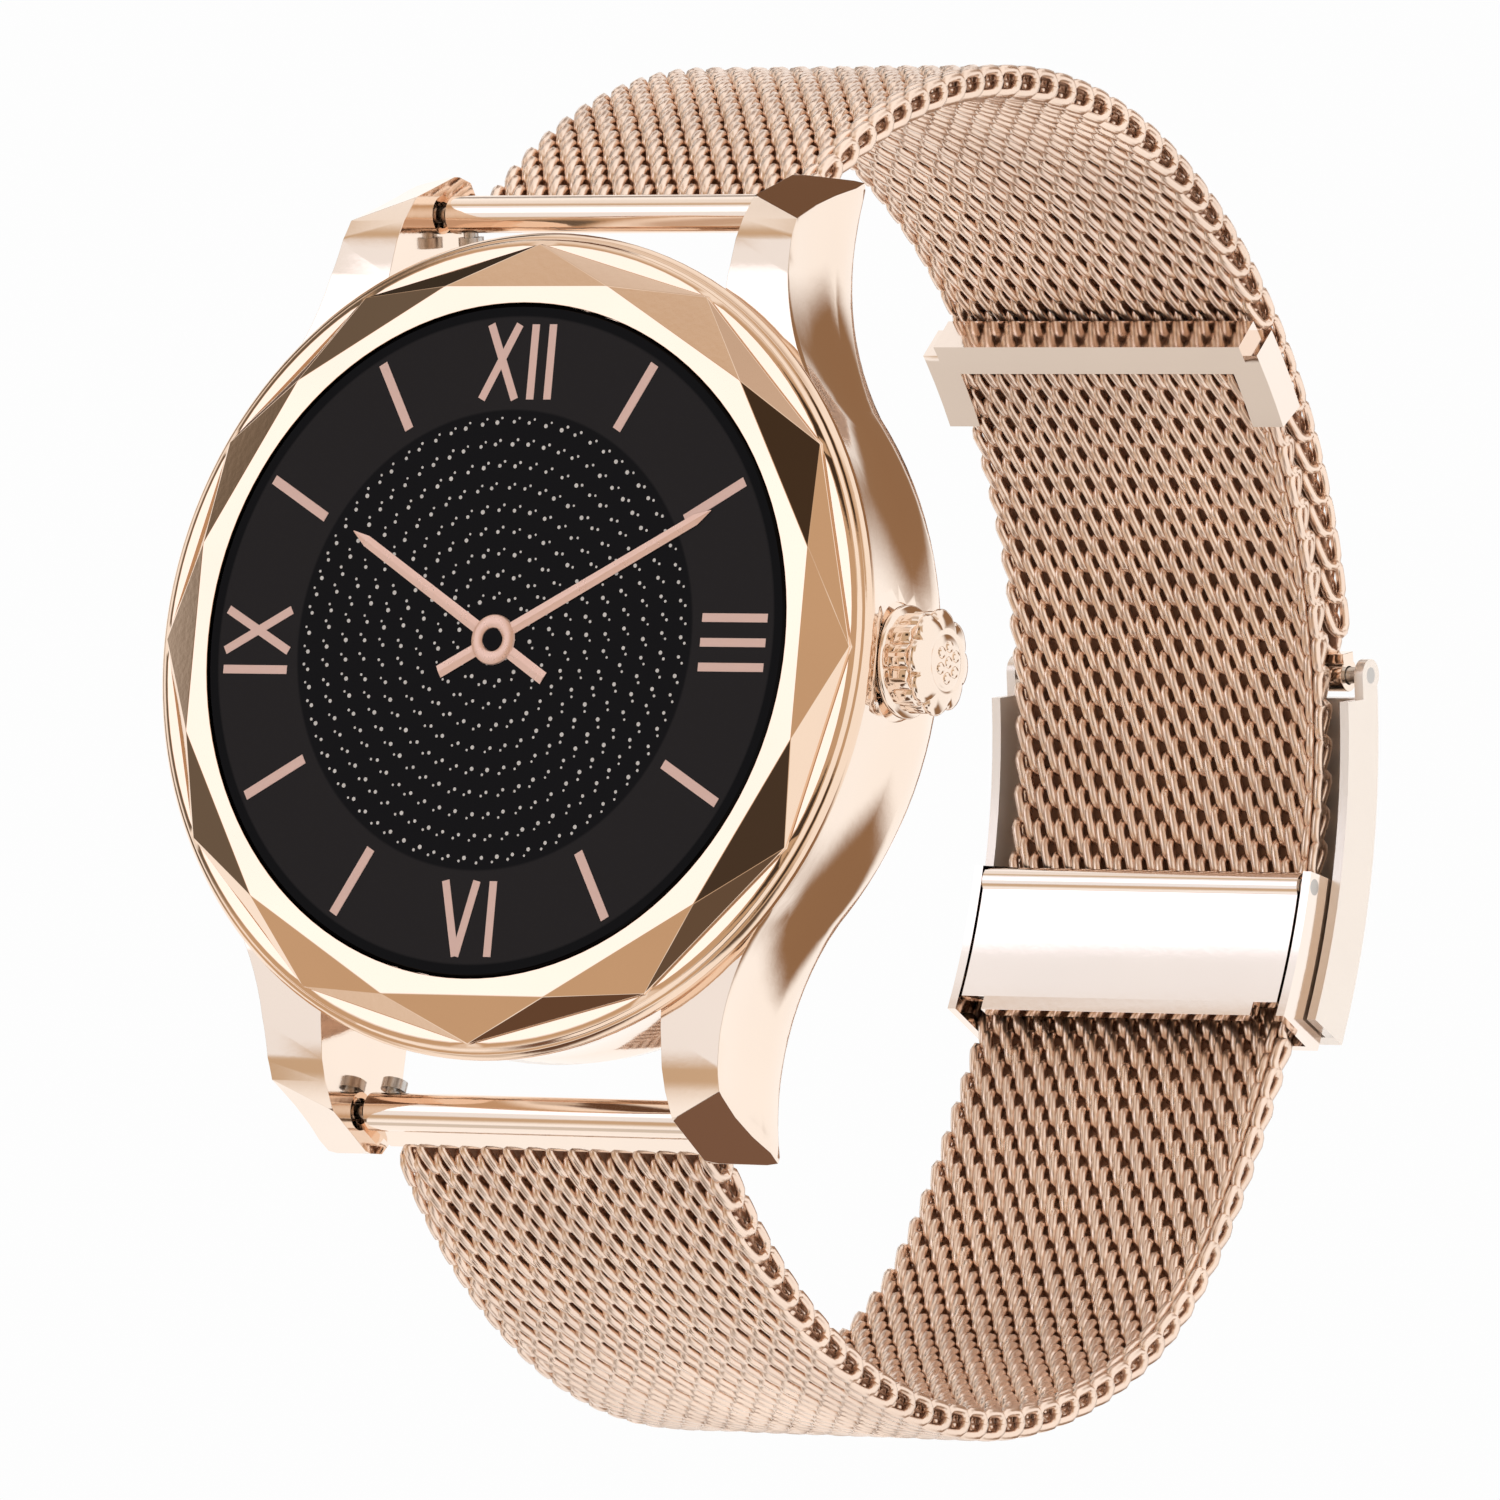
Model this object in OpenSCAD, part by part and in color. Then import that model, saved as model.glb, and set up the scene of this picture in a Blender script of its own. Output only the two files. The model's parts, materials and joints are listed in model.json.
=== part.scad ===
// Smartwatch with a faceted bezel, a round display and a closed woven-mesh strap.
// World frame: +Z towards 12 o'clock, +X towards 3 o'clock (crown), the dial faces -Y.
// The origin is the centre of the case back, where the watch lies on the wrist.
// Case modules are drawn in a case frame (x = 3 o'clock, y = 12 o'clock, z = out of the dial).

/* [Case] */
// Thickness from the case back to the top of the glass
case_t = 10.8; // [10.6:0.1:11.2]
// Radius of the case at its top edge
case_r = 19.0; // [18.8:0.1:19.2]
// Radius of the cover glass
glass_r = 15.65; // [15.4:0.05:15.8]
// Thickness of the cover glass
glass_t = 1.2; // [1.0:0.1:1.3]
// Radius of the inner corners of the bezel facets
facet_inner_r = 17.05; // [16.9:0.05:17.2]
// Radius of the outer corners of the bezel facets
facet_outer_r = 18.6; // [18.4:0.05:18.7]
// Number of facet corners around the bezel
facet_count = 12; // [10:1:16]

/* [Crown] */
// Radius of the crown knob
crown_r = 2.45; // [2.2:0.05:2.6]
// Travel of the crown when it is pressed
crown_travel = 0.4; // [0.3:0.05:0.5]
// Height of the crown axis above the case back
crown_z = 5.2; // [5.0:0.1:5.6]

/* [Strap] */
// Width of the mesh strap
strap_w = 17.8; // [17.6:0.1:18]
// Thickness of the mesh strap
strap_t = 1.6; // [1.4:0.05:1.6]
// Radius of the closed loop at mid thickness
loop_r = 31.7; // [31.5:0.1:32]
// Gap between two neighbouring stretches of mesh
mesh_gap = 0.45; // [0.4:0.05:0.6]
// Height of the spring bars from the middle of the case
bar_pos = 21.1; // [21:0.05:21.3]

/* [Hidden] */
$fn = 64;
bar_y = -3.6;           // depth of the spring bar axes behind the dial side
loop_y = 21.6;          // centre of the loop
loop_z = -0.3;
tail_r = 29.75;         // mid radius of the tail, which lies inside the upper strap
root_a = 43.4;          // where the mesh starts at its end tube
upper_cuts = [root_a, 75, 105, 135, 162.6];   // angles of the cuts of the upper mesh
lower_cuts = [root_a, 80, 115, 150, 199.5];   // angles of the cuts of the lower mesh
tail_end = 229.4;       // angle at which the tail's mesh ends
tail_in = 157;          // angle at which the lower mesh has reached the tail radius
blend_from = 124;       // angle at which the lower mesh starts to move inwards
band_step = 3;          // degrees between two points of a mesh outline

// Clasp, as angles and radii about the loop centre
base_a0 = 183.5;
base_a1 = 199;
lid_a0 = 166.6;
lid_a1 = 197.5;
wall_x0 = 9.05;         // side walls of the clasp base
wall_x1 = 9.5;
flange_x0 = 9.62;       // side flanges of the clasp lid
flange_x1 = 10.1;
end_bar_a = 164.6;      // hinge bar at the end of the upper mesh
lock_a = 184.9;         // hinge of the lock plate
lock_r = 28.0;
pin_r = 0.4;            // hinge pins of the clasp
pin_gap = 0.05;
tube_r = 0.9;           // outer radius of the strap's end tubes
tube_bore_r = 0.62;
bar_body_r = 0.57;      // the spring bar's hollow body
bar_body_bore_r = 0.42;
bar_pin_r = 0.37;
lug_gap = 18.5;         // room between the lugs
lug_start = 6;          // where the lugs leave the middle of the case
lug_end = 23.0;
sweep_x = 25.5;         // axis of the hollow that sweeps from the case into each lug
sweep_y = 19.4;

// Inside the case, heights above the case back
seat_z = 8.6;           // top of the middle case, where the bezel sits
cavity_r = 16.6;
back_r = 17.0;
back_t = 1.6;
board_z = 6.5;
tube_in_x = 15.9;       // inner end of the crown tube
tube_out_x = 19.2;
cap_x0 = 20.3;          // where the crown's cap sits on its knob

// ---- placing ----
module in_case() { rotate([90, 0, 0]) children(); }
module along_x(x0, x1) { translate([x0, 0, 0]) rotate([0, 90, 0]) linear_extrude(x1 - x0) children(); }
module at_bar(side) { translate([0, bar_y, side * bar_pos]) children(); }

// Extrudes a (Y, Z) outline from x0 to x1
module yz_slab(x0, x1) { translate([x0, 0, 0]) rotate([90, 0, 90]) linear_extrude(x1 - x0) children(); }

// A point at an angle and radius about the loop centre: 0 faces the watch, side 1 goes over
// the top and side -1 under the bottom
function loop_point(a, r, side) = [loop_y - r * cos(a), loop_z + side * r * sin(a)];
function ease(t) = t <= 0 ? 0 : t >= 1 ? 1 : t * t * (3 - 2 * t);
function lower_r(a) = loop_r + (tail_r - loop_r) * ease((a - blend_from) / (tail_in - blend_from));
function strap_r(a, side) = side > 0 ? loop_r : lower_r(a);
function steps(a0, a1) = let (n = ceil((a1 - a0) / band_step)) [for (i = [0:n]) a0 + (a1 - a0) * i / n];

// Outline of a stretch of strap that follows the mid line between two angles
module strap_outline(a0, a1, side) {
    inner = [for (a = steps(a0, a1)) loop_point(a, strap_r(a, side) - strap_t / 2, side)];
    outer = [for (a = steps(a0, a1)) loop_point(a, strap_r(a, side) + strap_t / 2, side)];
    count = len(outer);
    polygon(concat(inner, [for (i = [0:count - 1]) outer[count - 1 - i]]));
}

// Outline of a curved plate between two radii
module plate_outline(a0, a1, r0, r1) {
    low = [for (a = steps(a0, a1)) loop_point(a, r0, 1)];
    high = [for (a = steps(a0, a1)) loop_point(a, r1, 1)];
    count = len(high);
    polygon(concat(low, [for (i = [0:count - 1]) high[count - 1 - i]]));
}

module strap_piece(a0, a1, side) {
    color("rosybrown") yz_slab(-strap_w / 2, strap_w / 2) strap_outline(a0, a1, side);
}

// Half a gap, as an angle on the mid line
half_gap = mesh_gap / 2 / loop_r * 180 / PI;

// ---- case ----
function case_waist() = [[case_r, seat_z], [case_r - 0.1, seat_z - 0.6], [case_r - 0.3, seat_z - 1.6],
    [case_r - 0.5, seat_z - 3.1], [case_r - 0.52, seat_z - 4.6], [case_r - 0.4, seat_z - 5.9],
    [case_r - 0.6, 1.6], [case_r - 1.1, 0.7]];

// Plan of one lug pair, from the tangent points on the round case to the lug ends
module lug_plan() {
    reach = case_r + 1;
    tangent = atan2(sweep_y, sweep_x);
    difference() {
        polygon([[-12, lug_start], [12, lug_start], [reach * cos(tangent), reach * sin(tangent)],
            [reach * cos(tangent), lug_end], [-reach * cos(tangent), lug_end],
            [-reach * cos(tangent), reach * sin(tangent)]]);
        translate([-lug_gap / 2, 12]) square([lug_gap, lug_end]);
    }
}

// Hollow beside a lug, which just dips into the round case at every height
module sweep_cut(sx) {
    to_axis = norm([sweep_x, sweep_y]) + 0.05;
    waist = case_waist();
    translate([sx * sweep_x, sweep_y, 0]) rotate_extrude($fn = 160)
        polygon(concat([[0, seat_z + 1], [to_axis - case_r, seat_z + 1]],
            [for (p = waist) [to_axis - p[0], p[1]]], [[to_axis - waist[7][0], 0], [0, 0]]));
}

// Side outline of the lugs: they slope towards the wrist
module lug_side() {
    polygon([[lug_start, 0.9], [17.2, 0.7], [20.5, 0.9], [22.2, 1.3], [22.9, 2.0], [lug_end, 3.0],
        [22.8, 4.3], [22.2, 5.7], [21.3, 6.6], [20.2, 7.35], [19.2, 7.8], [17.4, 8.2], [14, seat_z],
        [lug_start, seat_z]]);
}

// Facet that cuts the outer corner of a lug's tip slantwise
module tip_cut(sx) {
    translate([sx * 12.5, 20.1, 7.35]) rotate([-65, 0, -sx * 16]) translate([-8, -8, 0]) cube([16, 16, 8]);
}

module case_middle() {
    color("burlywood") in_case() difference() {
        union() {
            rotate_extrude($fn = 128) polygon(concat([[0, 0.7]], [[0, seat_z]], case_waist()));
            for (m = [0, 1]) mirror([0, m, 0]) difference() {
                intersection() {
                    translate([0, 0, 0.5]) linear_extrude(seat_z) lug_plan();
                    translate([-20, 0, 0]) rotate([90, 0, 90]) linear_extrude(40) lug_side();
                }
                for (s = [-1, 1]) sweep_cut(s);
            }
        }
        for (m = [0, 1], s = [-1, 1]) mirror([0, m, 0]) tip_cut(s);
        translate([0, 0, 2.2]) cylinder(r = cavity_r, h = seat_z);
        translate([0, 0, -1]) cylinder(r = back_r + 0.05, h = 1 + back_t);
        translate([0, 0, 0]) cylinder(r = cavity_r - 1.0, h = 4);
        back_screw_axes() translate([0, 0, 1]) cylinder(r = 0.5, h = 3);
        translate([0, 0, crown_z]) along_x(10, 25) circle(r = 1.6);
        translate([0, 0, crown_z]) along_x(18.15, 25) circle(r = 2.75);
        for (s = [-1, 1]) translate([0, s * bar_pos, -bar_y]) along_x(-lug_gap / 2 - 1.2, lug_gap / 2 + 1.2)
            circle(r = 0.42);
    }
}

// Antiprism of flat triangles between two polygons, and a rounded rim outside it
module bezel() {
    color("peru") in_case() difference() {
        union() {
            hull() {
                translate([0, 0, seat_z]) rotate([0, 0, 180 / facet_count])
                    cylinder(r = facet_inner_r, h = case_t - seat_z, $fn = facet_count);
                translate([0, 0, seat_z]) cylinder(r = facet_outer_r, h = 1.3, $fn = facet_count);
            }
            rotate_extrude($fn = 128) polygon([[16, seat_z], [19.05, seat_z], [19.25, seat_z + 0.25],
                [19.25, seat_z + 0.55], [19.05, seat_z + 0.8], [18.9, seat_z + 0.85],
                [18.8, seat_z + 1.05], [18.55, seat_z + 1.15], [16, seat_z + 1.15]]);
        }
        translate([0, 0, case_t - glass_t - 0.35]) cylinder(r = glass_r + 0.05, h = 4);
        translate([0, 0, seat_z - 1]) cylinder(r = 15.1, h = 4);
    }
}

module cover_glass() {
    color("black") in_case() translate([0, 0, case_t - glass_t]) union() {
        cylinder(r = glass_r, h = glass_t - 0.15);
        translate([0, 0, glass_t - 0.15]) rotate_extrude($fn = 128)
            polygon([[0, 0], [glass_r, 0], [glass_r - 0.15, 0.15], [0, 0.15]]);
    }
}

module glass_gasket() {
    color("dimgray") in_case() translate([0, 0, case_t - glass_t - 0.35]) difference() {
        cylinder(r = glass_r, h = 0.35);
        translate([0, 0, -1]) cylinder(r = 15.1, h = 3);
    }
}

// ---- inside the case ----
module display_panel() {
    color("darkslategray") in_case() translate([0, 0, case_t - glass_t - 1.0]) cylinder(r = 15.0, h = 1.0);
}

module display_flex() {
    color("orange") in_case() union() {
        translate([-3, -13.6, board_z + 0.8]) cube([6, 0.3, case_t - glass_t - 1.0 - board_z - 0.8]);
        translate([-3, -13.6, board_z + 0.8]) cube([6, 3, 0.2]);
    }
}

module inner_frame() {
    color("gray") in_case() difference() {
        translate([0, 0, 2.5]) cylinder(r = cavity_r - 0.15, h = seat_z - 2.55);
        translate([0, 0, 3.1]) cylinder(r = 15.3, h = 10);
        translate([-10.2, -8.7, 0]) cube([20.4, 17.4, 5]);
        translate([0, 0, crown_z]) along_x(10, 20) circle(r = 2.0);
        translate([0, -12.2, 0]) cylinder(r = 2.9, h = 5);
        for (s = [-1, 1]) translate([s * 2, -11, 0]) cylinder(r = 1.2, h = 5);
        back_screw_axes() cylinder(r = 0.9, h = 4.5);
    }
}

module battery() {
    color("silver") in_case() translate([-9.9, -8.4, 3.0]) cube([19.4, 16.8, 3.1]);
}

module main_board() {
    color("seagreen") in_case() difference() {
        translate([0, 0, board_z]) cylinder(r = 14.6, h = 0.8);
        translate([10.4, -3, board_z - 1]) cube([7, 6, 3]);
    }
}

module board_chips() {
    color("black") in_case() for (c = [[-6, 3, 6, 6], [3, 4, 5, 4], [-10, -5, 4, 5], [3, -7, 3, 3]])
        translate([c[0], c[1], board_z + 0.8]) cube([c[2], c[3], 0.8]);
}

module vibration_motor() {
    color("lightgray") in_case() translate([0, 12.2, 3.15]) cylinder(r = 2.8, h = 2.6);
}

module crown_switch() {
    color("dimgray") in_case() translate([0, 0, crown_z]) union() {
        along_x(10.6, 12.2) square([3.2, 3.2], center = true);
        along_x(12.2, 12.6) circle(r = 0.8);
    }
}

// ---- crown ----
module crown_tube() {
    color("goldenrod") in_case() translate([0, 0, crown_z]) difference() {
        union() {
            along_x(tube_in_x, tube_out_x) circle(r = 1.6);
            along_x(tube_in_x - 0.4, tube_in_x) circle(r = 1.9);
        }
        along_x(tube_in_x - 1, tube_out_x + 1) circle(r = 1.05);
    }
}

module encoder_drum() {
    color("white") in_case() translate([0, 0, crown_z]) difference() {
        along_x(14.0, 15.4) circle(r = 1.9);
        along_x(13, 16) circle(r = 0.8);
    }
}

// Stem with a groove for each seal
module crown_stem() {
    color("silver") in_case() translate([0, 0, crown_z]) difference() {
        union() {
            along_x(13.05, 20.0) circle(r = 0.75);
            along_x(tube_in_x + 0.05, 19.0) circle(r = 1.0);
        }
        for (x = [16.4, 17.6]) translate([x, 0, 0]) difference() {
            along_x(0, 0.5) circle(r = 2);
            along_x(-1, 2) circle(r = 0.7);
        }
    }
}

module crown_seals() {
    color("black") in_case() translate([0, 0, crown_z]) for (x = [16.42, 17.62]) difference() {
        along_x(x, x + 0.46) circle(r = 1.04);
        along_x(x - 1, x + 2) circle(r = 0.7);
    }
}

// Fluted knob that skirts the tube
module crown_knob() {
    color("burlywood") in_case() translate([0, 0, crown_z]) difference() {
        union() {
            along_x(18.9, 19.4) circle(r = crown_r);
            along_x(19.4, cap_x0) circle(r = crown_r - 0.15);
        }
        for (i = [0:11]) rotate([i * 30, 0, 0]) translate([0, crown_r + 0.25, 0])
            along_x(19.4, cap_x0 + 0.1) circle(r = 0.55, $fn = 24);
        along_x(18, tube_out_x + crown_travel + 0.1) circle(r = 1.7);
        along_x(18, 20.0) circle(r = 0.75);
    }
}

module crown_cap() {
    color("bisque") in_case() translate([cap_x0, 0, crown_z]) rotate([0, 90, 0]) rotate_extrude($fn = 96)
        polygon([[0, 0], [crown_r - 0.1, 0], [crown_r, 0.2], [crown_r - 0.05, 0.4], [crown_r - 0.35, 0.6],
            [crown_r - 1.0, 0.75], [crown_r - 1.7, 0.8], [0, 0.82]]);
}

// ---- back ----
module back_screw_axes() {
    for (i = [0:3]) rotate([0, 0, 45 + 90 * i]) translate([16.0, 0, 0]) children();
}

module back_cover() {
    color("silver") in_case() difference() {
        cylinder(r = back_r, h = back_t);
        translate([0, 0, -1]) cylinder(r = 6.5, h = 5);
        for (s = [-1, 1]) translate([s * 2, -11, -1]) cylinder(r = 0.95, h = 5);
        back_screw_axes() translate([0, 0, -1]) cylinder(r = 0.5, h = 5);
        back_screw_axes() translate([0, 0, -1]) cylinder(r = 0.85, h = 1.6);
    }
}

module back_gasket() {
    color("black") in_case() translate([0, 0, back_t]) difference() {
        cylinder(r = 15.5, h = 0.6);
        translate([0, 0, -1]) cylinder(r = 14.9, h = 3);
    }
}

module back_screws() {
    color("gray") in_case() back_screw_axes() difference() {
        union() {
            translate([0, 0, 0.1]) cylinder(r = 0.8, h = 0.5);
            translate([0, 0, 0.6]) cylinder(r = 0.47, h = 2.6);
        }
        translate([-1, -0.1, 0]) cube([2, 0.2, 0.3]);
    }
}

module sensor_window() {
    color("black") in_case() cylinder(r = 6.45, h = 1.5);
}

module sensor_board() {
    color("seagreen") in_case() translate([0, 0, 2.2]) cylinder(r = 7.0, h = 0.6);
}

module sensor_leds() {
    color("lime") in_case() for (i = [0:3]) rotate([0, 0, 90 * i]) translate([2.2, -0.6, 1.6])
        cube([1.6, 1.2, 0.6]);
}

module charging_contacts() {
    color("gold") in_case() for (s = [-1, 1]) translate([s * 2, -11, 0.02]) cylinder(r = 0.9, h = 2.2);
}

module charging_magnets() {
    color("silver") in_case() for (s = [-1, 1])
        translate([s * 6.5, -10.6, back_t]) cylinder(r = 1.4, h = 0.85);
}

// ---- spring bars ----
// Turns a slot or knob from the front to face the case and a little backwards
module to_case(side) { rotate([side * 105, 0, 0]) children(); }

// Tube that carries the mesh, with a lip along the first row and a slot for the release knob
module end_tube(side) {
    color("bisque") difference() {
        union() {
            at_bar(side) along_x(-strap_w / 2, strap_w / 2) circle(r = tube_r);
            yz_slab(-strap_w / 2, strap_w / 2) polygon([[bar_y + 0.2, side * (bar_pos + 0.75)],
                [bar_y + 0.9, side * (bar_pos - 0.7)],
                loop_point(root_a, loop_r - 0.6, side), loop_point(root_a, loop_r + 0.6, side)]);
        }
        at_bar(side) along_x(-10, 10) circle(r = tube_bore_r);
        at_bar(side) to_case(side) translate([-8.6, -2, -0.4]) cube([3.6, 1.9, 0.8]);
    }
}

// Hollow body of the spring bar with its fixed pin on the crown side
module spring_bar(side) {
    color("silver") at_bar(side) difference() {
        union() {
            along_x(-8.6, 8.9) circle(r = bar_body_r);
            along_x(8.9, lug_gap / 2 + 1.0) circle(r = bar_pin_r);
        }
        along_x(-9, 2) circle(r = bar_body_bore_r);
        to_case(side) translate([-8.7, -2, -0.4]) cube([3.8, 1.9, 0.8]);
    }
}

// Sliding pin with the knob that pulls it out of the lug
module release_pin(side) {
    color("silver") at_bar(side) union() {
        along_x(-lug_gap / 2 - 1.0, -3.0) circle(r = bar_pin_r);
        to_case(side) translate([-8.1, 0, 0]) rotate([90, 0, 0]) cylinder(r = 0.35, h = 1.25);
        to_case(side) translate([-8.1, -1.05, 0]) rotate([90, 0, 0]) cylinder(r = 0.6, h = 0.5);
    }
}

// ---- strap ----
// A stretch of mesh between two cuts; only the outermost cuts have no gap
module mesh(cuts, i, side) {
    strap_piece(cuts[i - 1] + (i == 1 ? 0 : half_gap), cuts[i] - (i == 4 ? 0 : half_gap), side);
}

module mesh_tail() { strap_piece(lower_cuts[4], tail_end, -1); }

module upper_end_bar() {
    c = loop_point(end_bar_a, loop_r, 1);
    color("bisque") difference() {
        union() {
            translate([0, c[0], c[1]]) along_x(-strap_w / 2, strap_w / 2) circle(r = 0.8);
            yz_slab(-strap_w / 2, strap_w / 2)
                plate_outline(upper_cuts[4], end_bar_a, loop_r - 0.5, loop_r + 0.5);
        }
        translate([0, c[0], c[1]]) along_x(-12, 12) circle(r = pin_r + pin_gap);
    }
}

// Metal end of the tail: a bar with chamfered corners and two arms along the edges
module tip_cap() {
    a_end = 360 - tail_end;
    a_tip = a_end - 2.2;
    a_arm = a_end + 7.5;
    cap_in = tail_r - strap_t / 2 - 0.3;    // the cap stands proud on the wrist side
    cap_out = tail_r + strap_t / 2;
    lip_out = tail_r - strap_t / 2 - 0.02;
    cap_x = 9.4;
    bar_x = 8.6;
    arm_x = 8.9;
    lip_x = 7.7;
    color("bisque") union() {
        yz_slab(-bar_x, bar_x) plate_outline(a_tip, a_end, cap_in, cap_out);
        for (s = [-1, 1]) {
            yz_slab(s > 0 ? arm_x : -cap_x, s > 0 ? cap_x : -arm_x)
                plate_outline(a_end, a_arm, cap_in, cap_out);
            yz_slab(s > 0 ? lip_x : -arm_x, s > 0 ? arm_x : -lip_x)
                plate_outline(a_end, a_arm, cap_in, lip_out);
            yz_slab(s > 0 ? bar_x : -cap_x, s > 0 ? cap_x : -bar_x)
                plate_outline(a_tip + 1.1, a_end, cap_in, cap_out);
        }
        yz_slab(-arm_x, arm_x) plate_outline(a_end, a_end + 1.2, cap_in, lip_out);
    }
}

// ---- clasp ----
module clasp_base() {
    lock = loop_point(lock_a, lock_r, 1);
    color("bisque") difference() {
        union() {
            yz_slab(-wall_x1, wall_x1) plate_outline(base_a0, base_a1, 30.8, 31.25);
            for (s = [-1, 1]) yz_slab(s > 0 ? wall_x0 : -wall_x1, s > 0 ? wall_x1 : -wall_x0)
                plate_outline(base_a0, base_a1, 27.5, 31.0);
            for (a = [186, 196]) yz_slab(-7, 7) plate_outline(a - 0.6, a + 0.6, tail_r + strap_t / 2, 31.0);
        }
        translate([0, lock[0], lock[1]]) along_x(-12, 12) circle(r = pin_r);
    }
}

module lock_plate() {
    lock = loop_point(lock_a, lock_r, 1);
    color("seashell") difference() {
        union() {
            translate([0, lock[0], lock[1]]) along_x(-8.9, 8.9) circle(r = 0.7);
            yz_slab(-8.9, 8.9) plate_outline(lock_a, base_a1 - 1.5, lock_r - 0.5, lock_r + 0.15);
            yz_slab(-7.6, 7.6) plate_outline(base_a1 - 1.6, base_a1, lock_r - 0.5, lock_r + 0.15);
        }
        translate([0, lock[0], lock[1]]) along_x(-12, 12) circle(r = pin_r + pin_gap);
    }
}

module lock_pin() {
    lock = loop_point(lock_a, lock_r, 1);
    color("silver") translate([0, lock[0], lock[1]]) along_x(-wall_x1, wall_x1) circle(r = pin_r);
}

// Outer plate with side flanges that reach round the base, hinged on the upper strap's bar
module clasp_lid() {
    hinge = loop_point(end_bar_a, loop_r, 1);
    color("seashell") difference() {
        union() {
            yz_slab(-flange_x1, flange_x1) plate_outline(lid_a0, lid_a1, 31.45, 32.3);
            for (s = [-1, 1]) yz_slab(s > 0 ? flange_x0 : -flange_x1, s > 0 ? flange_x1 : -flange_x0) {
                plate_outline(lid_a0, lid_a1, 29.4, 31.6);
                plate_outline(end_bar_a, lid_a0 + 0.1, 30.9, 32.3);
            }
            for (s = [-1, 1]) translate([0, hinge[0], hinge[1]])
                along_x(s > 0 ? flange_x0 : -flange_x1, s > 0 ? flange_x1 : -flange_x0) circle(r = 0.8);
        }
        translate([0, hinge[0], hinge[1]]) along_x(-12, 12) circle(r = pin_r);
    }
}

module lid_pin() {
    hinge = loop_point(end_bar_a, loop_r, 1);
    color("silver") translate([0, hinge[0], hinge[1]]) along_x(-flange_x1, flange_x1) circle(r = pin_r);
}

case_middle();
bezel();
cover_glass();
glass_gasket();
display_panel();
display_flex();
inner_frame();
main_board();
board_chips();
battery();
vibration_motor();
crown_switch();
crown_tube();
encoder_drum();
crown_stem();
crown_knob();
crown_cap();
crown_seals();
back_cover();
back_gasket();
back_screws();
sensor_window();
sensor_board();
sensor_leds();
charging_contacts();
charging_magnets();
end_tube(1);  // end_tube_upper
spring_bar(1);  // spring_bar_upper
release_pin(1);  // release_pin_upper
mesh(upper_cuts, 1, 1);  // mesh_upper_1
mesh(upper_cuts, 2, 1);  // mesh_upper_2
mesh(upper_cuts, 3, 1);  // mesh_upper_3
mesh(upper_cuts, 4, 1);  // mesh_upper_4
upper_end_bar();
end_tube(-1);  // end_tube_lower
spring_bar(-1);  // spring_bar_lower
release_pin(-1);  // release_pin_lower
mesh(lower_cuts, 1, -1);  // mesh_lower_1
mesh(lower_cuts, 2, -1);  // mesh_lower_2
mesh(lower_cuts, 3, -1);  // mesh_lower_3
mesh(lower_cuts, 4, -1);  // mesh_lower_4
mesh_tail();
tip_cap();
clasp_base();
lock_plate();
lock_pin();
clasp_lid();
lid_pin();
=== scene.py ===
"""Looks of a rose gold smartwatch with a faceted bezel and a woven-mesh strap.

Lengths in this script are millimetres; MM turns them into Blender's metres.
World frame: +Z is 12 o'clock, +X is 3 o'clock and the crown, and the dial faces -Y.
"""
import json
import math
import random

import bmesh
import bpy
import numpy as np
from mathutils import Matrix, Vector

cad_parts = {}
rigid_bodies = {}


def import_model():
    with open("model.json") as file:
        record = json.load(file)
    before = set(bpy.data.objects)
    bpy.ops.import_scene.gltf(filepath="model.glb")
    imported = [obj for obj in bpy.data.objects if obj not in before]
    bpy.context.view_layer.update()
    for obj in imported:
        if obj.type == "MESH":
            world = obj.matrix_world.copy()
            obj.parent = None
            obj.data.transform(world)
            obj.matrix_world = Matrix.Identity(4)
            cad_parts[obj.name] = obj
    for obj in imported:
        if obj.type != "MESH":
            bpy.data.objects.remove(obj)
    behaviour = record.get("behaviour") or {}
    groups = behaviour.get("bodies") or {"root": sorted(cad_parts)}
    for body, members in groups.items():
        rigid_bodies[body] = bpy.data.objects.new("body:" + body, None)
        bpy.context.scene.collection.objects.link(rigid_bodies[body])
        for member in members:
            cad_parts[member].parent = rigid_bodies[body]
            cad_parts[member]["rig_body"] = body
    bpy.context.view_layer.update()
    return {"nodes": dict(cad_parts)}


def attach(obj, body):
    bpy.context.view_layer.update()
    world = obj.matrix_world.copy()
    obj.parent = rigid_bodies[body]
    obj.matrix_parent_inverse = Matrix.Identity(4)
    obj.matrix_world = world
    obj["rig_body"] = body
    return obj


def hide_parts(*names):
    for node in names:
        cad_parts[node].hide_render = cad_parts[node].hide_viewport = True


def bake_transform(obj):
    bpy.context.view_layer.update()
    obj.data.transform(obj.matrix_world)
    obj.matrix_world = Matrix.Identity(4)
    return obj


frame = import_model()
MM = 0.001
rng = random.Random(7)

# ---- driving dimensions, as in the CAD model ----
CASE_T = 10.8                 # case back to the top of the glass
GLASS_R = 15.65
CROWN_Z = 5.2                 # crown axis above the case back
STRAP_T = 1.6
LOOP_Y, LOOP_Z, LOOP_R = 21.6, -0.3, 31.7
TAIL_R, TAIL_END = 29.75, 229.4
BLEND_FROM, TAIL_IN = 124.0, 157.0    # where the lower strap moves in to the tail's radius
ROOT_A = 43.6                 # first angle of the weave at either end tube
UPPER_END_A = 162.4           # last angle of the upper weave
BEND_HALF = 9                 # half the angle between the two points taken about each joint's angle
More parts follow.
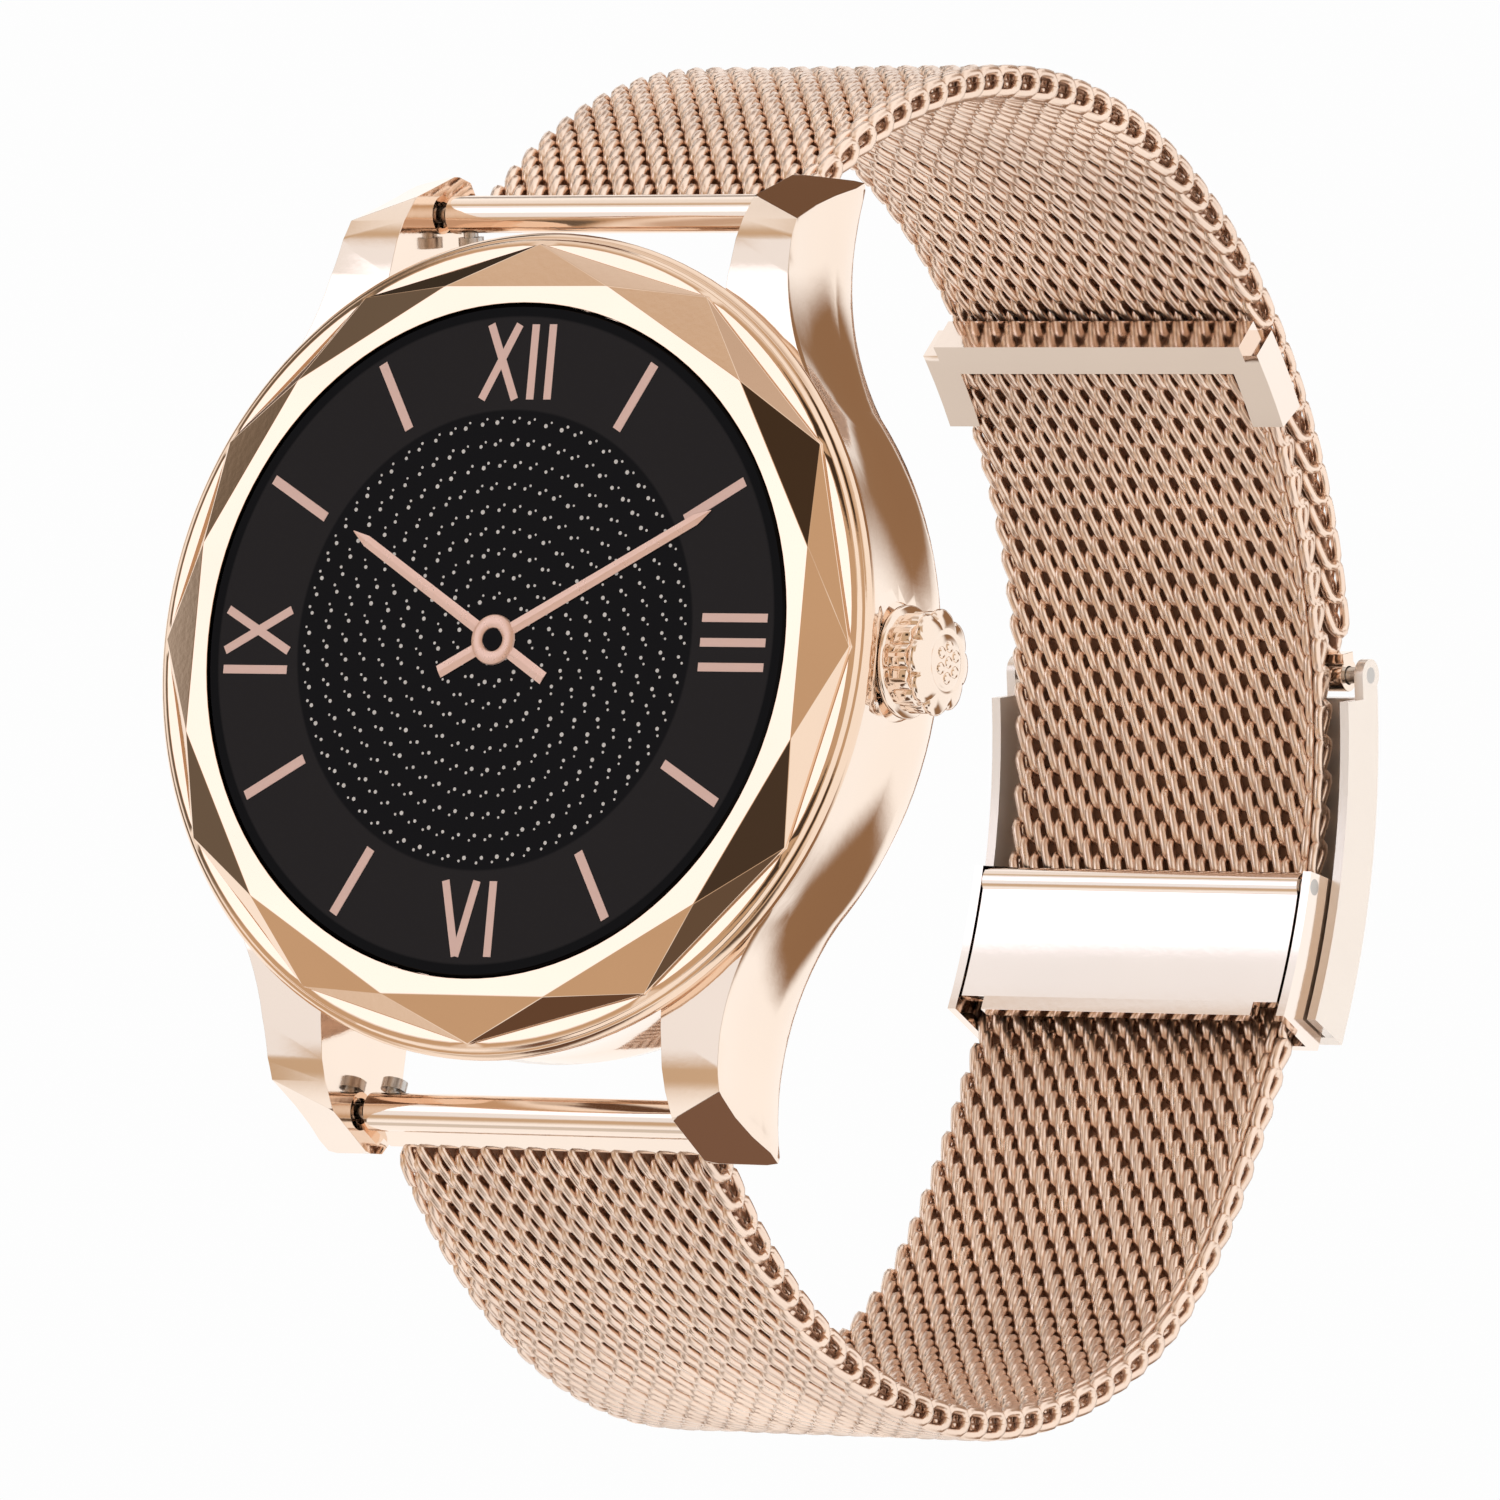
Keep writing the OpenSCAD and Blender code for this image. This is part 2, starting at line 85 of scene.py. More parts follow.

# ---- the dial ----
DISC_R = 10.7                 # blacker disc in the middle
BORDER_R = 15.05              # black border inside the glass's rim
NUMERAL_R, NUMERAL_H, STROKE = 12.93, 3.5, 0.4
TICK_IN, TICK_OUT, TICK_W = 11.29, 14.8, 0.46
HANDS = [                     # name, angle from 12, length, tail and lift off the glass
    ("hand_hour", 301.5, 9.6, 3.4, 0.03),
    ("hand_minute", 61.5, 12.7, 3.2, 0.06),
]
HAND_HALF_W, HAND_RIDGE = 0.31, 0.045
HUB_HOLE_R, HUB_PIN_LIFT = 0.52, 0.125

# ---- the studio ----
FLOOR_HALF, FLOOR_Z = 3000.0, -125.0

# ---- the weave ----
COIL_STEP = 0.845             # from coil to coil along the strap
WIRE_PITCH = 1.186            # from turn to turn across the strap
WIRE_D = 0.5
COIL_HALF = 0.93              # half the length of a coil's flat loop, at the wire's centre
COIL_SHIFT = 0.42             # every second coil is shifted by this share of the pitch
COIL_SLANT = 0.03             # how much more the straight wires slant than in an even helix
TURNS = 14
TURN_POINTS = 14              # points of the wire in one turn
WIRE_SIDES = 6
SHADE_SHEET_T, SHADE_SHEET_W = 0.1, 16.6    # dark sheet of painted shade between the two faces of the weave, where the real weave has only shadow


def facing(azimuth, elevation):
    """Unit vector from the object towards a direction given in radians."""
    return Vector((math.sin(azimuth) * math.cos(elevation), -math.cos(azimuth) * math.cos(elevation),
                   math.sin(elevation)))


def new_object(name, mesh):
    obj = bpy.data.objects.new(name, mesh)
    bpy.context.scene.collection.objects.link(obj)
    return obj


# ---- camera ----
CAMERA_AZ, CAMERA_EL, CAMERA_ROLL = math.radians(32.03), math.radians(-6.89), math.radians(5.09)
CAMERA_FROM_DIAL = 800.0
CAMERA_ASIDE, CAMERA_UP = 11.77, -5.06
CAMERA_LENS = 418.35


def camera_axes():
    towards = facing(CAMERA_AZ, CAMERA_EL)
    level = Vector((math.cos(CAMERA_AZ), math.sin(CAMERA_AZ), 0))
    upright = towards.cross(level)
    c, s = math.cos(CAMERA_ROLL), math.sin(CAMERA_ROLL)
    return c * level + s * upright, c * upright - s * level, towards


def add_camera():
    right, up, towards = camera_axes()
    place = (towards * CAMERA_FROM_DIAL + right * CAMERA_ASIDE + up * CAMERA_UP
             + Vector((0, -CASE_T, 0)))
    camera = bpy.data.objects.new("camera", bpy.data.cameras.new("camera"))
    bpy.context.scene.collection.objects.link(camera)
    turn = Matrix((right, up, towards)).transposed().to_4x4()
    camera.matrix_world = Matrix.Translation(place * MM) @ turn
    camera.data.sensor_width = 36
    camera.data.lens = CAMERA_LENS
    camera.data.clip_start, camera.data.clip_end = 0.01, 50
    bpy.context.scene.camera = camera


# ---- materials ----
class Nodes:
    """Short names for building a material's node tree."""

    def __init__(self, name):
        self.material = bpy.data.materials.new(name)
        self.material.use_nodes = True
        self.tree = self.material.node_tree
        self.shader = self.tree.nodes["Principled BSDF"]

    def add(self, kind, **values):
        node = self.tree.nodes.new(kind)
        for key, value in values.items():
            if key in node.inputs:
                node.inputs[key].default_value = value
            else:
                setattr(node, key, value)
        return node

    def link(self, a, output, b, entry):
        self.tree.links.new(a.outputs[output], b.inputs[entry])

    def set(self, **values):
        for key, value in values.items():
            self.shader.inputs[key.replace("_", " ")].default_value = value


def polished_metal(name, colour, roughness=0.16, tint=0.06, scratch=0.02, grain=2600.0):
    """Plated metal: faint colour clouds, fine wear in the gloss and a very fine bump."""
    n = Nodes(name)
    n.set(Metallic=1.0)
    place = n.add("ShaderNodeTexCoord")
    clouds = n.add("ShaderNodeTexNoise", Scale=90.0, Detail=3.0)
    n.link(place, "Object", clouds, "Vector")
    ramp = n.add("ShaderNodeValToRGB")
    dark = [c * (1 - tint) for c in colour]
    light = [min(1, c * (1 + tint * 0.5)) for c in colour]
    ramp.color_ramp.elements[0].color = (*dark, 1)
    ramp.color_ramp.elements[1].color = (*light, 1)
    ramp.color_ramp.elements[0].position, ramp.color_ramp.elements[1].position = 0.35, 0.65
    n.link(clouds, "Fac", ramp, "Fac")
    n.link(ramp, "Color", n.shader, "Base Color")
    wear = n.add("ShaderNodeTexNoise", Scale=420.0, Detail=5.0, Roughness=0.65)
    n.link(place, "Object", wear, "Vector")
    gloss = n.add("ShaderNodeMapRange")
    gloss.inputs["To Min"].default_value = roughness * 0.75
    gloss.inputs["To Max"].default_value = roughness * 1.3
    n.link(wear, "Fac", gloss, "Value")
    n.link(gloss, "Result", n.shader, "Roughness")
    fine = n.add("ShaderNodeTexNoise", Scale=grain, Detail=2.0)
    n.link(place, "Object", fine, "Vector")
    bump = n.add("ShaderNodeBump", Strength=scratch, Distance=0.0001)
    n.link(fine, "Fac", bump, "Height")
    n.link(bump, "Normal", n.shader, "Normal")
    return n.material


def surface(name, colour, roughness, metallic=0.0, tint=0.08, scale=300.0, bump=0.05, coat=0.0):
    """Plain material with a mottled colour, an uneven gloss and a fine grain."""
    n = Nodes(name)
    n.set(Metallic=metallic, Coat_Weight=coat)
    place = n.add("ShaderNodeTexCoord")
    noise = n.add("ShaderNodeTexNoise", Scale=scale, Detail=4.0)
    n.link(place, "Object", noise, "Vector")
    ramp = n.add("ShaderNodeValToRGB")
    ramp.color_ramp.elements[0].color = (*[c * (1 - tint) for c in colour], 1)
    ramp.color_ramp.elements[1].color = (*[min(1, c * (1 + tint)) for c in colour], 1)
    n.link(noise, "Fac", ramp, "Fac")
    n.link(ramp, "Color", n.shader, "Base Color")
    gloss = n.add("ShaderNodeMapRange")
    gloss.inputs["To Min"].default_value = roughness * 0.8
    gloss.inputs["To Max"].default_value = min(1, roughness * 1.2)
    n.link(noise, "Fac", gloss, "Value")
    n.link(gloss, "Result", n.shader, "Roughness")
    grain = n.add("ShaderNodeTexNoise", Scale=scale * 12, Detail=2.0)
    n.link(place, "Object", grain, "Vector")
    height = n.add("ShaderNodeBump", Strength=bump, Distance=0.0001)
    n.link(grain, "Fac", height, "Height")
    n.link(height, "Normal", n.shader, "Normal")
    return n.material


def glass_material():
    """Black cover glass: a dark grey dial ring, a blacker disc inside it and a black border."""
    n = Nodes("cover_glass")
    n.set(Roughness=0.04, IOR=1.5, Specular_IOR_Level=0.05)
    place = n.add("ShaderNodeTexCoord")
    split = n.add("ShaderNodeSeparateXYZ")
    n.link(place, "Object", split, "Vector")
    flat = n.add("ShaderNodeCombineXYZ")
    n.link(split, "X", flat, "X")
    n.link(split, "Z", flat, "Y")
    radius = n.add("ShaderNodeVectorMath", operation="LENGTH")
    n.link(flat, "Vector", radius, 0)
    share = n.add("ShaderNodeMath", operation="DIVIDE")
    share.inputs[1].default_value = GLASS_R * MM
    n.link(radius, "Value", share, 0)
    ramp = n.add("ShaderNodeValToRGB")
    ramp.color_ramp.interpolation = "LINEAR"
    disc, border = DISC_R / GLASS_R, BORDER_R / GLASS_R
    ring, black = (0.0185, 0.0165, 0.0175, 1), (0.0022, 0.0018, 0.002, 1)
    inner, outer = ramp.color_ramp.elements
    inner.position, inner.color = disc - 0.002, (0.004, 0.0034, 0.004, 1)
    outer.position, outer.color = border + 0.003, black
    for place_at, colour in ((disc + 0.002, ring), (border - 0.003, ring)):
        ramp.color_ramp.elements.new(place_at).color = colour
    n.link(share, "Value", ramp, "Fac")
    n.link(ramp, "Color", n.shader, "Base Color")
    return n.material


mat_mesh = polished_metal("woven_wire", (0.97, 0.77, 0.64), 0.28, tint=0.08, scratch=0.05)
# Painted shade: a dark brown sheet inside the weave stands in for the shadow in the holes between the
# wires.
mat_painted_shade = surface("weave_painted_shade", (0.40, 0.22, 0.14), 0.6, metallic=0.4, tint=0.2)
mat_polish = polished_metal("rose_polish", (0.93, 0.79, 0.68), 0.07, tint=0.03)
mat_facet = polished_metal("rose_facets", (0.88, 0.68, 0.53), 0.05, tint=0.03)
mat_clasp = polished_metal("clasp_polish", (0.95, 0.84, 0.76), 0.09, tint=0.03)
# Painted light: the lid is paler and only part metal, so it reads bright where the plated metal would
# mirror the shade under it.
mat_lid_painted_light = surface("clasp_lid", (0.95, 0.87, 0.80), 0.24, metallic=0.55, tint=0.03)
mat_steel = polished_metal("steel", (0.60, 0.58, 0.56), 0.3, tint=0.08, scratch=0.08)
mat_glass = glass_material()
mat_marks = surface("dial_marks", (0.72, 0.50, 0.44), 0.35, metallic=0.2, tint=0.06, scale=900.0)
mat_hands = surface("dial_hands", (0.80, 0.55, 0.46), 0.28, metallic=0.55, tint=0.06, scale=900.0)
mat_spark = surface("dial_sparkles", (0.62, 0.62, 0.62), 0.4, tint=0.3, scale=2500.0)

INNER = {
    "glass_gasket": surface("gasket_rubber", (0.02, 0.02, 0.02), 0.7),
    "display_panel": surface("display_black", (0.01, 0.01, 0.012), 0.15, coat=0.5),
    "display_flex": surface("flex_film", (0.55, 0.25, 0.04), 0.4, coat=0.3),
    "inner_frame": surface("frame_plastic", (0.06, 0.06, 0.065), 0.55, bump=0.2),
    "main_board": surface("board_green", (0.02, 0.12, 0.05), 0.4, tint=0.35, coat=0.4),
    "board_chips": surface("chip_black", (0.015, 0.015, 0.016), 0.5, bump=0.3),
    "battery": surface("battery_foil", (0.55, 0.56, 0.58), 0.35, metallic=0.8, bump=0.3),
    "vibration_motor": mat_steel,
    "crown_switch": surface("switch_dark", (0.08, 0.08, 0.085), 0.4),
    "crown_tube": polished_metal("tube_brass", (0.86, 0.70, 0.54), 0.2),
    "encoder_drum": surface("encoder_white", (0.75, 0.75, 0.73), 0.45),
    "crown_stem": mat_steel,
    "crown_seals": surface("seal_rubber", (0.02, 0.02, 0.02), 0.6),
    "back_cover": polished_metal("back_steel", (0.62, 0.60, 0.58), 0.28, tint=0.06, scratch=0.15),
    "back_gasket": surface("back_rubber", (0.02, 0.02, 0.02), 0.7),
    "back_screws": polished_metal("screw_steel", (0.55, 0.54, 0.53), 0.22),
    "sensor_window": surface("sensor_glass", (0.006, 0.006, 0.008), 0.06),
    "sensor_board": surface("sensor_board", (0.02, 0.10, 0.05), 0.4, tint=0.3),
    "sensor_leds": surface("sensor_led", (0.10, 0.70, 0.20), 0.3),
    "charging_contacts": polished_metal("contact_gold", (0.85, 0.62, 0.25), 0.18),
    "charging_magnets": polished_metal("magnet_nickel", (0.66, 0.65, 0.62), 0.2),
    "spring_bar_upper": mat_steel, "spring_bar_lower": mat_steel,
    "release_pin_upper": mat_steel, "release_pin_lower": mat_steel,
    "lock_pin": mat_steel, "lid_pin": mat_steel,
}


# ---- mesh helpers ----
def mesh_from(name, vertices, faces, material, smooth=True, sharp_angle=35.0):
    """A new object from points in millimetres. Edges steeper than sharp_angle stay crisp."""
    mesh = bpy.data.meshes.new(name)
    points = (np.asarray(vertices, float) * MM).tolist()
    mesh.from_pydata(points, [], [list(map(int, f)) for f in faces])
    mesh.materials.append(material)
    obj = new_object(name, mesh)
    if smooth:
        soften(mesh, sharp_angle)
    return obj


def soften(mesh, sharp_angle):
    bm = bmesh.new()
    bm.from_mesh(mesh)
    limit = math.radians(sharp_angle)
    for face in bm.faces:
        face.smooth = True
    for edge in bm.edges:
        edge.smooth = len(edge.link_faces) == 2 and edge.calc_face_angle(0) < limit
    bm.to_mesh(mesh)
    bm.free()


def polish(node, slot, material, width):
    """Replaces a CAD node by the same shape with its edges rounded by width, as polishing does."""
    source = frame["nodes"][node]
    bm = bmesh.new()
    bm.from_mesh(source.data)
    bmesh.ops.remove_doubles(bm, verts=bm.verts, dist=2e-6)
    bmesh.ops.dissolve_limit(bm, angle_limit=math.radians(0.6), verts=bm.verts, edges=bm.edges)
    edges = [e for e in bm.edges
             if len(e.link_faces) == 2 and e.calc_face_angle(0) > math.radians(20)]
    bmesh.ops.bevel(bm, geom=edges, offset=width * MM, segments=2, profile=0.5, affect="EDGES",
                    clamp_overlap=True)
    for face in bm.faces:
        face.smooth = True
    for edge in bm.edges:
        edge.smooth = len(edge.link_faces) == 2 and edge.calc_face_angle(0) < math.radians(36)
    mesh = bpy.data.meshes.new(node + "_look")
    bm.to_mesh(mesh)
    bm.free()
    mesh.materials.append(material)
    piece = new_object(node + "_look", mesh)
    normals = piece.modifiers.new("normals", "WEIGHTED_NORMAL")
    normals.keep_sharp = True
    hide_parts(node)
    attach(piece, source["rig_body"])
    return piece


# ---- the strap ----
def ease(t):
    t = min(1.0, max(0.0, t))
    return t * t * (3 - 2 * t)


def strap_radius(a, side):
    if side > 0:
        return LOOP_R
    return LOOP_R + (TAIL_R - LOOP_R) * ease((a - BLEND_FROM) / (TAIL_IN - BLEND_FROM))


def loop_point(a, r, side, x=0.0):
    """A point at an angle in degrees and a radius about the loop's centre."""
    t = math.radians(a)
    return (x, LOOP_Y - r * math.cos(t), LOOP_Z + side * r * math.sin(t))


def enumerate_coils(a0, a1, side):
    """(angle, number) of the coils that fill the strap from a0 to a1, evenly along it."""
    a, number = a0, 0
    while a <= a1 + 1e-6:
        yield a, number
        a += math.degrees(COIL_STEP / strap_radius(a, side))
        number += 1


def coil_line():
    """Centre line of one coil as (across, along, out) offsets: a flat loop that advances across."""
    rise = (STRAP_T - WIRE_D) / 2
    flat = COIL_HALF - rise
    quarter = math.pi * rise / 2
    lap = 4 * flat + 4 * quarter
    points = []
    for i in range(int(-0.5 * TURN_POINTS), int((TURNS + 0.5) * TURN_POINTS) + 1):
        u = i / TURN_POINTS
        s = (u % 1.0) * lap
        inside = min(max(u, 0.0), TURNS)
        across = WIRE_PITCH * inside - COIL_SLANT * math.sin(4 * math.pi * inside)
        if quarter <= s < quarter + 2 * flat:
            along, out = flat - (s - quarter), rise
        elif 3 * quarter + 2 * flat <= s < 3 * quarter + 4 * flat:
            along, out = s - 3 * quarter - 3 * flat, -rise
        else:
            side = -1 if quarter < s < 3 * quarter + 3 * flat else 1
            done = 2 * flat if side < 0 else (0 if s < quarter else 4 * flat)
            t = (s - done) / rise
            along, out = side * flat + rise * math.cos(t), rise * math.sin(t)
        points.append((across - WIRE_PITCH * TURNS / 2, along, out))
    return np.array(points)


def tube_faces(rings, sides, offset=0):
    faces = []
    for i in range(rings - 1):
        for j in range(sides):
            k = (j + 1) % sides
            faces.append((offset + i * sides + j, offset + i * sides + k,
                          offset + (i + 1) * sides + k, offset + (i + 1) * sides + j))
    faces.append(tuple(offset + j for j in reversed(range(sides))))
    faces.append(tuple(offset + (rings - 1) * sides + j for j in range(sides)))
    return faces


def wire_tube(points, radius, sides):
    """Vertices of a round wire along points, with a steady twist-free ring."""
    tangent = np.gradient(points, axis=0)
    tangent /= np.linalg.norm(tangent, axis=1)[:, None]
    normal = np.cross(tangent[0], (1.0, 0.3, 0.2))
    normal /= np.linalg.norm(normal)
    rings = []
    for p, t in zip(points, tangent):
        normal = normal - t * (normal @ t)
        normal /= np.linalg.norm(normal)
        other = np.cross(t, normal)
        for j in range(sides):
            q = 2 * math.pi * j / sides
            rings.append(p + radius * (math.cos(q) * normal + math.sin(q) * other))
    return np.array(rings)


LINE = coil_line()
TUBE = wire_tube(LINE, WIRE_D / 2, WIRE_SIDES)
TUBE_FACES = tube_faces(len(LINE), WIRE_SIDES)


def wrap(block, a, side):
    """Lays (across, along, out) offsets on the strap's mid line at angle a."""
    turn = np.radians(a) + block[:, 1] / strap_radius(a, side)
    reach = np.array([strap_radius(q, side) for q in np.degrees(turn)]) + block[:, 2]
    y, z = LOOP_Y - reach * np.cos(turn), LOOP_Z + side * reach * np.sin(turn)
    return np.stack([block[:, 0], y, z], 1)


def painted_shade_slab(a0, a1, side):
    """Thin closed dark slab along the mid line: painted shade in the holes of the weave, where the real
    weave has only shadow.
    """
    count = max(2, int((a1 - a0) / 1.5))
    corners = [(-1, -1), (1, -1), (1, 1), (-1, 1)]
    rows = []
    for i in range(count + 1):
        a = a0 + (a1 - a0) * i / count
        r = strap_radius(a, side)
        rows += [loop_point(a, r + v * SHADE_SHEET_T / 2, side, u * SHADE_SHEET_W / 2) for u, v in corners]
    return np.array(rows), tube_faces(count + 1, 4)


def weave(name, coils, side, shade_span):
    """The coils with these (angle, number) pairs as one piece, with its dark sheet of painted shade
    inside.
    """
    vertices, faces = [], []
    for a, number in coils:
        block = TUBE.copy()
        block[:, 0] = side * (block[:, 0] + WIRE_PITCH * COIL_SHIFT * (number % 2 - 0.5))
        offset = len(vertices) * len(TUBE)
        faces += [tuple(offset + i for i in f) for f in TUBE_FACES]
        vertices.append(wrap(block, a, side))
    wires = len(faces)
    # the dark sheet of painted shade between the two faces of the weave
    rows, shade_sheet_faces = painted_shade_slab(*shade_span, side)
    offset = len(vertices) * len(TUBE)
    faces += [tuple(offset + i for i in f) for f in shade_sheet_faces]
    piece = mesh_from(name, np.concatenate(vertices + [rows]), faces, mat_mesh, sharp_angle=80)
    # the sheet's faces take the painted shade material
    piece.data.materials.append(mat_painted_shade)
    for face in piece.data.polygons[wires:]:
        face.material_index = 1
    return piece


def make_strap():
    upper = list(enumerate_coils(44.7, 161.2, 1))
    lower = list(enumerate_coils(44.7, 228.3, -1))
    # name, coils, side, angles from and to, the two bodies, the joint's angle, nodes replaced
    parts = [
        ("weave_upper_root", upper, 1, ROOT_A, 90, "upper_1", "upper_2", 75,
         ["mesh_upper_1", "mesh_upper_2"]),
        ("weave_upper_crest", upper, 1, 90, 120, "upper_2", "upper_3", 105, ["mesh_upper_3"]),
        ("weave_upper_back", upper, 1, 120, UPPER_END_A, "upper_3", "upper_4", 135,
         ["mesh_upper_4"]),
        ("weave_lower_root", lower, -1, ROOT_A, 97.5, "lower_1", "lower_2", 80, ["mesh_lower_1"]),
        ("weave_lower_base", lower, -1, 97.5, 132.5, "lower_2", "lower_3", 115,
         ["mesh_lower_2", "mesh_lower_3"]),
        ("weave_lower_back", lower, -1, 132.5, 190, "lower_3", "lower_4", 150, ["mesh_lower_4"]),
    ]
    for name, coils, side, a0, a1, body_a, body_b, joint_a, nodes in parts:
        piece = weave(name, [c for c in coils if a0 <= c[0] < a1], side, (a0, a1))
        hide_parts(*nodes)
        joint_r = strap_radius(joint_a, side)
        ends = [Vector(loop_point(joint_a + d, joint_r, side)) * MM
                for d in (-BEND_HALF, BEND_HALF)]
        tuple(ends[0])
        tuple(ends[1])
        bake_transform(piece)
    tail = weave("weave_tail", [c for c in lower if c[0] >= 190], -1, (190, TAIL_END))
    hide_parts("mesh_tail")
    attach(tail, "lower_4")


# ---- the dial ----
def on_dial(x, z, lift=0.0):
    return (x, -CASE_T - lift, z)


class Plates:
    """Collects thin plates that stand a hair proud of the glass."""

    def __init__(self, lift):
        self.vertices, self.faces, self.lift = [], [], lift

    def plate(self, outline):
        """A plate from its outline, given counterclockwise as seen from the front."""
        base, count = len(self.vertices), len(outline)
        self.vertices += [on_dial(x, z, self.lift) for x, z in outline]
        self.vertices += [on_dial(x, z, -0.01) for x, z in outline]
        self.faces.append(tuple(base + i for i in range(count)))
        self.faces.append(tuple(base + count + i for i in reversed(range(count))))
        for i in range(count):
            j = (i + 1) % count
            self.faces.append((base + i, base + count + i, base + count + j, base + j))

    def bar(self, start, end, width):
        (x0, z0), (x1, z1) = start, end
        length = math.hypot(x1 - x0, z1 - z0)
        u, v = (x1 - x0) / length * width / 2, (z1 - z0) / length * width / 2
        self.plate([(x0 + v, z0 - u), (x1 + v, z1 - u), (x1 - v, z1 + u), (x0 - v, z0 + u)])
        self.lift += 0.001

    def piece(self, name, material):
        obj = mesh_from(name, self.vertices, self.faces, material, smooth=False)
        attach(obj, "watch_case")
        return obj


def make_marks():
    """Ticks, and Roman numerals at 12, 3, 6 and 9 whose tops point outwards except at 6."""
    marks = Plates(0.012)
    half = NUMERAL_H / 2
    strokes = {
        0: [((-1.85, -1), (-0.1, 1)), ((-1.65, 1), (-0.05, -1)),
            ((0.78, -1), (0.78, 1)), ((1.72, -1), (1.72, 1))],
        90: [((-1.12, -1), (-1.12, 1)), ((0.02, -1), (0.02, 1)), ((1.16, -1), (1.16, 1))],
        180: [((-1.4, 1), (-0.55, -1)), ((0.3, 1), (-0.55, -1)), ((1.2, -1), (1.2, 1))],
        270: [((-1.5, -1), (-1.5, 1)), ((-0.62, -1), (1.3, 1)), ((1.3, -1), (-0.62, 1))],
    }
    for at, lines in strokes.items():
        t = math.radians(at)
        out, across = (math.sin(t), math.cos(t)), (math.cos(t), -math.sin(t))
        flip = -1 if at == 180 else 1
        for line in lines:
            ends = [(out[0] * (NUMERAL_R + flip * h * half) + flip * across[0] * w,
                     out[1] * (NUMERAL_R + flip * h * half) + flip * across[1] * w) for w, h in line]
            marks.bar(ends[0], ends[1], STROKE)
    for hour in range(12):
        if hour % 3:
            t = math.radians(30 * hour)
            marks.bar((TICK_IN * math.sin(t), TICK_IN * math.cos(t)),
                      (TICK_OUT * math.sin(t), TICK_OUT * math.cos(t)), TICK_W)
    marks.piece("dial_marks", mat_marks)


def make_sparkles():
    """Pairs of small dots on rings that turn a little from one to the next."""
    dots = Plates(0.008)
    for ring in range(1, 11):
        radius = 1.02 * ring
        count = round(2 * math.pi * radius / 0.88)
        for i in range(count):
            t = 2 * math.pi * (i + 0.13 * rng.random()) / count + 0.37 * ring
            for shift, size in ((0.0, 0.095), (0.27, 0.066)):
                r = radius + (0.10 if shift else -0.10) + 0.05 * rng.random()
                q = t + shift / radius
                size *= 0.85 + 0.3 * rng.random()
                dots.plate([(r * math.sin(q) + size * math.cos(k * math.pi / 4),
                             r * math.cos(q) + size * math.sin(k * math.pi / 4)) for k in range(8)])
    dots.piece("dial_sparkles", mat_spark)


def make_hands():
    """Two straight hands with a ridge along the middle, and a ring at their hub."""
    for name, clock, length, tail, lift in HANDS:
        t = math.radians(clock)
        along, across = (math.sin(t), math.cos(t)), (math.cos(t), -math.sin(t))
        stations = [(-tail, HAND_HALF_W, HAND_RIDGE),
                    (length - 0.9, HAND_HALF_W * 0.86, HAND_RIDGE), (length, 0.02, 0.005)]
        vertices, faces = [], []
        for s, w, h in stations:
            for side, height in ((-w, 0.0), (0.0, h), (w, 0.0)):
                vertices.append(on_dial(along[0] * s + across[0] * side,
                                        along[1] * s + across[1] * side, lift + height))
            vertices.append(on_dial(along[0] * s, along[1] * s, lift - 0.02))
        for i in range(len(stations) - 1):
            for j in range(4):
                k = (j + 1) % 4
                faces.append((4 * i + j, 4 * i + k, 4 * i + 4 + k, 4 * i + 4 + j))
        faces += [(3, 2, 1, 0), (8, 9, 10, 11)]
        hand = mesh_from(name, vertices, faces, mat_hands, smooth=False)
        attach(hand, "watch_case")
    profile = [(HUB_HOLE_R, 0.03), (0.56, 0.12), (0.66, 0.15), (1.0, 0.15), (1.14, 0.11), (1.18, 0.03)]
    vertices, faces = [], []
    steps = 48
    for i in range(steps):
        t = 2 * math.pi * i / steps
        vertices += [on_dial(r * math.sin(t), r * math.cos(t), h) for r, h in profile]
        for j in range(len(profile)):
            k, n = (j + 1) % len(profile), len(profile)
            m = (i + 1) % steps
            faces.append((i * n + j, m * n + j, m * n + k, i * n + k))
    hub = mesh_from("hand_hub", vertices, faces, mat_hands)
    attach(hub, "watch_case")
    pin = Plates(HUB_PIN_LIFT)
    turns = [k * math.pi / 12 for k in range(24)]
    pin.plate([(HUB_HOLE_R * math.cos(t), HUB_HOLE_R * math.sin(t)) for t in turns])
    pin.piece("hand_pin", mat_glass)


# ---- the crown ----
def lobed_lathe(name, profile, lobes, material):
    """Turns (x, radius, lobe depth) stations about the crown's axis; the lobes are rounded ribs."""
    steps = lobes * 16
    vertices, faces = [], []
    for x, radius, depth in profile:
        for i in range(steps):
            t = 2 * math.pi * i / steps
            r = radius - depth * (1 - abs(math.cos(lobes * t / 2)) ** 0.55)
            vertices.append((x, -CROWN_Z + r * math.sin(t), r * math.cos(t)))
    for s in range(len(profile) - 1):
        for i in range(steps):
            j = (i + 1) % steps
            faces.append((s * steps + i, s * steps + j, (s + 1) * steps + j, (s + 1) * steps + i))
    last = (len(profile) - 1) * steps
    faces += [tuple(reversed(range(steps))), tuple(last + i for i in range(steps))]
    return mesh_from(name, vertices, faces, material, sharp_angle=50)


